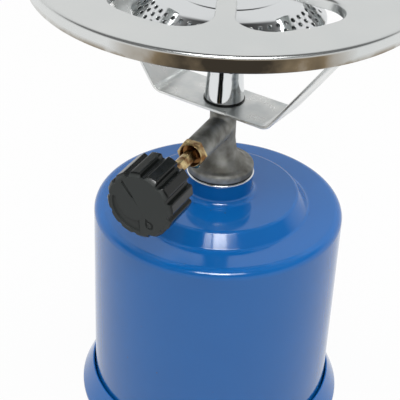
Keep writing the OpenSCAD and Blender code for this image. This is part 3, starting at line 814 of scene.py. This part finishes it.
def knob_outline(s, radius):
    """Outline of the lobed knob, with a groove on +X."""
    root = radius - s.lobe_depth
    lip = math.degrees(math.asin(s.lobe_gap / 2 / radius))
    half = [(root, 0), (root + 0.1, lip * 0.55), (root + 0.45 * s.lobe_depth, lip * 0.9),
            (radius - 0.3, lip * 1.1), (radius - 0.06, lip * 1.35), (radius, lip * 1.7)]
    lobe = [(r, -a) for r, a in half[:0:-1]] + half
    pitch = 360 / s.lobes
    return [polar(r, a + pitch * i) for i in range(s.lobes) for r, a in lobe]


def flame(scale):
    """Outline of a small flame with its tip on +Y."""
    bulb = arc((0, 0), 1.55 * scale, -220, 40, 20)
    return bulb + [(0.75 * scale, 1.75 * scale), (0.1 * scale, 3.1 * scale), (-0.75 * scale, 1.75 * scale)]


class STOVE_OT_knob(Operator):
    """Spindle with its flat, and the lobed knob with its marks"""

    bl_idname = "stove.knob"
    bl_label = "Spindle and knob"

    def execute(self, context):
        s = measures(context)
        colours = context.scene.stove_colours
        back, face = -high("knob").y, -low("knob").y
        start, end = -high("spindle").y, -low("spindle").y
        thread_end = start + s.spindle_thread_length
        bar = turned([(0, start), (s.spindle_thread, start, 0.2), (s.spindle_thread, thread_end, 0.2),
                      (s.spindle, thread_end), (s.spindle, end, 0.3), (0, end)])
        piece = add_object("spindle_turning", along_arm(bar))
        flat_start = -low("gland_nut").y - s.gland_depth / 2 + FREE_GAP
        clear = s.spindle + CUT
        flat = prism(oblong(s.spindle - s.flat_depth, clear, -clear, clear), flat_start, end + CUT)
        combine(piece, along_arm(spun(flat, s.knob_turn)), "DIFFERENCE")
        ease_edges(piece, 0.08)
        place(piece, "spindle", brass(colours))

        radius = (high("knob").x - low("knob").x) / 2
        wall = radius - s.lobe_depth - s.knob_wall
        floor = face - s.knob_wall
        outside, chamfer = radius + SLIVER, radius - s.knob_edge
        blank = turned([(0, back), (s.knob_hub, back), (s.knob_hub, floor, 0.8), (wall, floor, 0.8),
                        (wall, back), (outside, back, 0.6), (outside, face - 1.2 * s.knob_edge, 0.5),
                        (chamfer, face, 0.4), (chamfer - 0.6, face), (0, face)])
        piece = add_object("knob_moulding", along_arm(blank))
        lobes = spun(prism(knob_outline(s, radius), back - CUT, face + CUT), s.knob_turn)
        combine(piece, along_arm(lobes), "INTERSECT")

        # Marks in the face: a pointer, a wedge that grows with the flame, and the flame
        floor, above = face - s.mark_depth, face + CUT
        near, far = 3.6, 10.4
        pointer = prism([(near, -0.3), (far, -0.5), (far, 0.5), (near, 0.3)], floor, above)
        sweep, outer_r, inner_r, growth = 104, 10.2, 8.7, 3.1
        outer = arc((0, 0), outer_r, 0, sweep, 28)
        shares = [i / 20 for i in range(20, -1, -1)]
        inner = [polar(inner_r - growth * share, sweep * share) for share in shares]
        wedge = prism(outer + inner, floor, above)
        fire_at, fire_turn, pointer_turn, wedge_turn = (4.6, -6.6, 0), 35, 105, 147
        fire = spun(prism(flame(1), floor, above, island=flame(0.55)), fire_turn)
        bmesh.ops.translate(fire, vec=Vector(fire_at) * MM, verts=fire.verts)
        marks = joined(spun(pointer, s.knob_turn + pointer_turn), spun(wedge, s.knob_turn + wedge_turn), fire)
        combine(piece, along_arm(marks), "DIFFERENCE")
        ease_edges(piece, 0.14, degrees=28)
        place(piece, "knob", moulding(colours, face))
        return {"FINISHED"}


class STOVE_OT_bracket(Operator):
    """Folded strip that carries the pan support, and the washer under the tube"""

    bl_idname = "stove.bracket"
    bl_label = "Bracket"

    def execute(self, context):
        s = measures(context)
        colours = context.scene.stove_colours
        weld_z = high("pan_bracket").z
        plate_z = low("pan_bracket").z + s.strip
        strip = bmesh.new()
        wire(strip, [(-s.strip_top - s.weld_length, weld_z), (-s.strip_top, weld_z, 2 * s.strip),
                     (-s.strip_foot, plate_z, s.strip_bend), (s.strip_foot, plate_z, s.strip_bend),
                     (s.strip_top, weld_z, 2 * s.strip), (s.strip_top + s.weld_length, weld_z)])
        bmesh.ops.translate(strip, vec=(0, -s.strip_width / 2 * MM, 0), verts=strip.verts)
        swept = bmesh.ops.extrude_edge_only(strip, edges=strip.edges)["geom"]
        bmesh.ops.translate(strip, vec=(0, s.strip_width * MM, 0),
                            verts=[v for v in swept if isinstance(v, bmesh.types.BMVert)])
        bmesh.ops.recalc_face_normals(strip, faces=strip.faces)
        if min(strip.faces, key=lambda f: f.calc_center_median().z).normal.z < 0:
            bmesh.ops.reverse_faces(strip, faces=strip.faces)
        piece = add_object("pan_bracket_strip", spun(strip, s.strip_turn))
        thicken(piece, s.strip)
        combine(piece, rod(s.nipple + CLOSE_FIT, plate_z - s.strip - CUT, plate_z + CUT), "DIFFERENCE")
        ease_edges(piece, 0.25)
        place(piece, "pan_bracket", satin_plate(colours))

        bore, rim = s.nipple + CLOSE_FIT, high("tube_washer").x
        bottom, top = low("tube_washer").z, high("tube_washer").z
        washer = turned([(bore, bottom), (rim, bottom), (rim, top, 0.1), (bore, top)], closed=True)
        piece = add_object("tube_washer_disc", washer)
        # The washer is black so that it draws the dark line at the tube's foot, part of which is painted
        # contact shadow
        place(piece, "tube_washer", dark_steel_and_shade(colours))
        return {"FINISHED"}


class STOVE_OT_burner(Operator):
    """Mixing tube, burner cup and perforated cap"""

    bl_idname = "stove.burner"
    bl_label = "Burner"

    def execute(self, context):
        s = measures(context)
        colours = context.scene.stove_colours
        bottom, top = low("burner_tube").z, high("burner_tube").z
        foot = high("burner_tube").x
        socket = s.nipple + CLOSE_FIT
        socket_top = bottom + s.socket_depth
        tube = turned([(socket, bottom), (foot, bottom, 0.3), (s.tube, bottom + s.tube_foot, 12),
                       (s.tube, top, 0.2), (s.tube_bore, top), (s.tube_bore, socket_top),
                       (socket, socket_top)], closed=True)
        piece = add_object("mixing_tube", tube)
        lift = Matrix.Translation((0, 0, (bottom + s.air_height) * MM))
        level = Matrix.Rotation(math.radians(90), 4, "Y")
        for i in range(s.air_holes):
            hole = rod(s.air_hole, s.tube_bore / 2, s.tube + CUT)
            turn = Matrix.Rotation(math.radians(45) + math.tau * i / s.air_holes, 4, "Z")
            bmesh.ops.transform(hole, matrix=lift @ turn @ level, verts=hole.verts)
            combine(piece, hole, "DIFFERENCE")
        ease_edges(piece, 0.12)
        place(piece, "burner_tube", plate(colours))

        cap_r, cap_top = high("burner_cap").x, high("burner_cap").z
        rim = low("burner_cap").z + s.cap_skirt
        neck = s.tube + CLOSE_FIT + s.cap_sheet
        cup_r = cap_r - s.cap_sheet - CLOSE_FIT
        cup = turned([(neck, low("burner_cup").z), (neck, top - 1, 1.2),
                      (cup_r - 1.5, rim - s.cup_depth / 2, 2), (cup_r, rim - s.cap_sheet)])
        piece = add_object("burner_cup_pressing", cup)
        thicken(piece, s.cap_sheet)
        ease_edges(piece, 0.15)
        place(piece, "burner_cup", plate(colours))

        cone_r, cone_top = cap_r - s.cone_width, rim + s.cone_rise
        crown = cap_top - cone_top
        sphere = (cone_r ** 2 + crown ** 2) / (2 * crown)
        rings, crease_depth, crease_width = 18, 0.3, 0.3
        radii = [cone_r * i / rings for i in range(rings)]
        radii += [s.crease - crease_width, s.crease, s.crease + crease_width]
        dome = [(cap_r, rim - s.cap_skirt), (cap_r, rim, 1), (cone_r, cone_top, 4)]
        for r in sorted(radii, reverse=True):
            groove = crease_depth if r == s.crease else 0
            dome.append((r, cap_top - sphere + math.sqrt(sphere ** 2 - r ** 2) - groove))
        dome = turned(dome, steps=4 * s.ports)
        piece = add_object("burner_cap_pressing", dome)
        thicken(piece, s.cap_sheet)
        drills = bmesh.new()
        port, length = s.port * MM, 5 * s.cap_sheet * MM
        tilt = Matrix.Rotation(math.atan2(s.cone_rise, s.cone_width), 4, "Y")
        for row in range(s.port_rows):
            across = s.first_row + row * s.row_pitch
            height = rim + across * s.cone_rise / s.cone_width
            at = Matrix.Translation(((cap_r - across) * MM, 0, height * MM))
            for i in range(s.ports):
                turn = Matrix.Rotation((i + row % 2 / 2) * math.tau / s.ports, 4, "Z")
                bmesh.ops.create_cone(drills, cap_ends=True, segments=12, radius1=port, radius2=port,
                                      depth=length, matrix=turn @ at @ tilt)
        combine(piece, drills, "DIFFERENCE")
        ease_edges(piece, 0.12, degrees=50)
        place(piece, "burner_cap", plate(colours))
        return {"FINISHED"}


def opening_outline(s, grow):
    """Outline of the pan support's opening, a bay between each two fingers, grown all round."""
    half = 180 / s.fingers
    edge = s.finger_width / 2 - grow
    outer, corner = s.opening + grow, s.corner + grow
    corner_at = half - math.degrees(math.asin((edge + corner) / (outer - corner)))
    side = arc((0, 0), outer, 0, corner_at, 12)
    side += arc(polar(outer - corner, corner_at), corner, corner_at, half + 90, 14)[1:]
    side += arc(polar(s.finger_tip + s.finger_width / 2, half), edge, half - 90, half - 180, 10)
    bay = [(x, -y) for x, y in side[:0:-1]] + side[:-1]
    first = s.finger_turn - 90 + half
    turns = [Matrix.Rotation(math.radians(first + 2 * half * i), 2) for i in range(s.fingers)]
    return [turn @ Vector(point) for turn in turns for point in bay]


class STOVE_OT_pan_support(Operator):
    """Pan support: flat ring and fingers with a flanged opening and a rolled rim"""

    bl_idname = "stove.pan_support"
    bl_label = "Pan support"

    def execute(self, context):
        s = measures(context)
        top, foot = high("pan_support").z, low("pan_support").z
        radius = high("pan_support").x
        flat_r = radius - s.rim_bend - 1
        curl_bend = 1.1
        disc = turned([(flat_r, top), (radius, top, s.rim_bend), (radius, foot, curl_bend),
                       (radius - s.rim_curl, foot)])
        border = [e for e in disc.edges if e.is_boundary and e.verts[0].co.z > (top - 0.1) * MM]
        lip = s.lip_bend
        levels = [(lip + 0.4, top)]
        levels += [(lip - x, top - lip + y) for x, y in arc((0, 0), lip, 90, 0, 6)]
        levels.append((0, top - s.flange_depth))
        previous = None
        for grow, z in levels:
            verts = [disc.verts.new(Vector((x, y, z)) * MM) for x, y in opening_outline(s, grow)]
            ring = [disc.edges.new(pair) for pair in zip(verts, verts[1:] + verts[:1])]
            if previous:
                bmesh.ops.bridge_loops(disc, edges=previous + ring)
            else:
                border += ring
            previous = ring
        bmesh.ops.triangle_fill(disc, use_beauty=True, use_dissolve=False, edges=border, normal=(0, 0, 1))
        bmesh.ops.recalc_face_normals(disc, faces=disc.faces)
        piece = add_object("pan_support_pressing", disc)
        thicken(piece, s.plate)
        ease_edges(piece, 0.2, degrees=60)
        place(piece, "pan_support", dark_rim_plate(context.scene.stove_colours, radius, top, foot))
        return {"FINISHED"}


class STOVE_OT_inner_parts(Operator):
    """Finishes of the small inner pieces that keep their CAD shapes"""

    bl_idname = "stove.inner_parts"
    bl_label = "Inner parts"

    def execute(self, context):
        colours = context.scene.stove_colours
        finishes = {
            enamel: ["gas_cartridge"],
            steel: ["piercing_needle", "knob_clip", "jet_filter"],
            rubber: ["cartridge_seal", "spindle_packing", "valve_pad"],
            brass: ["packing_washer", "jet"],
        }
        for finish, nodes in finishes.items():
            for node in nodes:
                mesh = frame["nodes"][node].data
                mesh.materials.clear()
                mesh.materials.append(finish(colours))
        return {"FINISHED"}


def light_paths(add):
    """Tells the rays that come from the camera, and those that were mirrored or refracted on their way."""
    path = add("LightPath").outputs
    mirrored = add("Math", (path["Is Glossy Ray"], path["Is Transmission Ray"]), operation="MAXIMUM")
    return path["Is Camera Ray"], mirrored


def studio_floor(colours):
    """White paper floor that shows as white, in metal too, and keeps the stove's soft shadow."""
    made = bpy.data.materials.new("paper_floor")
    made.use_nodes = True
    tree = made.node_tree
    add = partial(add_node, tree)
    shader = tree.nodes["Principled BSDF"]
    feed(tree, shader.inputs["Base Color"], colours.floor)
    feed(tree, shader.inputs["Roughness"], 0.9)
    shown = add("Math", light_paths(add), operation="MAXIMUM")
    share = add("Math", (shown, FLOOR_GLOW), operation="MULTIPLY")
    glow = add("Emission", {"Color": WHITE, "Strength": 1})
    mix = add("MixShader", (share, shader, glow))
    feed(tree, tree.nodes["Material Output"].inputs["Surface"], mix)
    return made


def studio_world():
    """Studio with a white sweep behind the stove, a dark ceiling and dark walls round the photographer."""
    world = bpy.data.worlds.new("studio")
    world.use_nodes = True
    tree = world.node_tree
    add = partial(add_node, tree)
    direction = add("TexCoord").outputs["Generated"]
    height = add("SeparateXYZ", (direction,)).outputs["Z"]
    toward = add("VectorMath", (direction, PHOTOGRAPHER_SIDE), operation="DOT_PRODUCT")
    sweep = add("MapRange", (height, 0.82, 1, 0.9, 0.15))
    front = add("MapRange", (toward, -0.4, -0.1, 0, 1))
    above = add("MapRange", (height, 0.12, 0.35, 0, 1))
    dark = add("Math", (front, above), operation="MULTIPLY")
    shade = add("MapRange", (dark, 0, 1, 1, 0.18))
    room = add("Math", (sweep, shade), operation="MULTIPLY")
    direct, mirrored = light_paths(add)
    indirect = add("Mix", {0: mirrored, 2: FILL_LIGHT, 3: room})
    strength = add("Mix", {0: direct, 2: indirect, 3: 1})
    background = tree.nodes["Background"]
    feed(tree, background.inputs["Color"], WHITE)
    feed(tree, background.inputs["Strength"], strength)
    return world


def softbox(name, azimuth, elevation, width, height, power):
    """A softbox or a window pane, in metres and watts, at an azimuth from -Y towards +X."""
    distance, aim = 1.2, Vector((0, 0, 0.1))
    lamp = bpy.data.lights.new(name, "AREA")
    lamp.shape = "RECTANGLE"
    lamp.size = width
    lamp.size_y = height
    lamp.energy = power
    holder = bpy.data.objects.new(name, lamp)
    a, e = math.radians(azimuth), math.radians(elevation)
    spot = Vector((math.sin(a) * math.cos(e), -math.cos(a) * math.cos(e), math.sin(e))) * distance
    holder.location = spot + aim
    holder.rotation_euler = (-spot).to_track_quat("-Z", "Y").to_euler()
    bpy.context.collection.objects.link(holder)
    return holder


class STOVE_OT_stage(Operator):
    """White floor, window light and the photograph's camera"""

    bl_idname = "stove.stage"
    bl_label = "Stage"

    def execute(self, context):
        scene = context.scene
        ground = bmesh.new()
        bmesh.ops.create_grid(ground, x_segments=1, y_segments=1, size=3)
        ground = add_object("floor", ground)
        ground.data.materials.append(studio_floor(scene.stove_colours))

        scene.world = studio_world()
        softbox("left_softbox", -63, 60, 0.9, 0.9, 13).visible_glossy = False
        softbox("right_softbox", 117, 58, 0.9, 0.9, 13).visible_glossy = False
        softbox("left_pane", 11, 49, 0.18, 0.3, 2.2)
        softbox("right_pane", 29, 49, 0.28, 0.3, 6)
        softbox("far_pane", 46, 49, 0.26, 0.3, 2)

        # The camera was fitted to the round edges of the casing, the base pan and the pan support
        camera = bpy.data.cameras.new("camera")
        camera.sensor_width = 36
        camera.lens = 108.37
        holder = bpy.data.objects.new("camera", camera)
        spot = Vector((0.16729, -0.37224, 0.35770))
        forward = Vector((-0.35853, 0.76004, -0.54203))
        upward = Vector((-0.27147, 0.47066, 0.83952))
        right = forward.cross(upward).normalized()
        upward = right.cross(forward).normalized()
        turn = Matrix((right, upward, -forward.normalized())).transposed()
        holder.matrix_world = Matrix.Translation(spot) @ turn.to_4x4()
        context.collection.objects.link(holder)
        scene.camera = holder
        scene.view_settings.view_transform = "Standard"
        return {"FINISHED"}


PIECES = (STOVE_OT_base, STOVE_OT_casing, STOVE_OT_valve, STOVE_OT_knob, STOVE_OT_bracket, STOVE_OT_burner,
          STOVE_OT_pan_support, STOVE_OT_inner_parts, STOVE_OT_stage)


class STOVE_PT_pieces(Panel):
    """Lists the stove's pieces in the sidebar"""

    bl_idname = "STOVE_PT_pieces"
    bl_label = "Cartridge camping stove"
    bl_space_type = "VIEW_3D"
    bl_region_type = "UI"
    bl_category = "Stove"

    def draw(self, context):
        for piece in PIECES:
            self.layout.operator(piece.bl_idname)


CLASSES = (StoveSizes, StoveColours, *PIECES, STOVE_PT_pieces)


def register():
    for cls in CLASSES:
        bpy.utils.register_class(cls)
    bpy.types.Scene.stove_sizes = PointerProperty(type=StoveSizes)
    bpy.types.Scene.stove_colours = PointerProperty(type=StoveColours)


def unregister():
    del bpy.types.Scene.stove_colours
    del bpy.types.Scene.stove_sizes
    for cls in reversed(CLASSES):
        bpy.utils.unregister_class(cls)


def main():
    register()
    bpy.ops.stove.base()
    bpy.ops.stove.casing()
    bpy.ops.stove.valve()
    bpy.ops.stove.knob()
    bpy.ops.stove.bracket()
    bpy.ops.stove.burner()
    bpy.ops.stove.pan_support()
    bpy.ops.stove.inner_parts()
    bpy.ops.stove.stage()


if __name__ == "__main__":
    main()
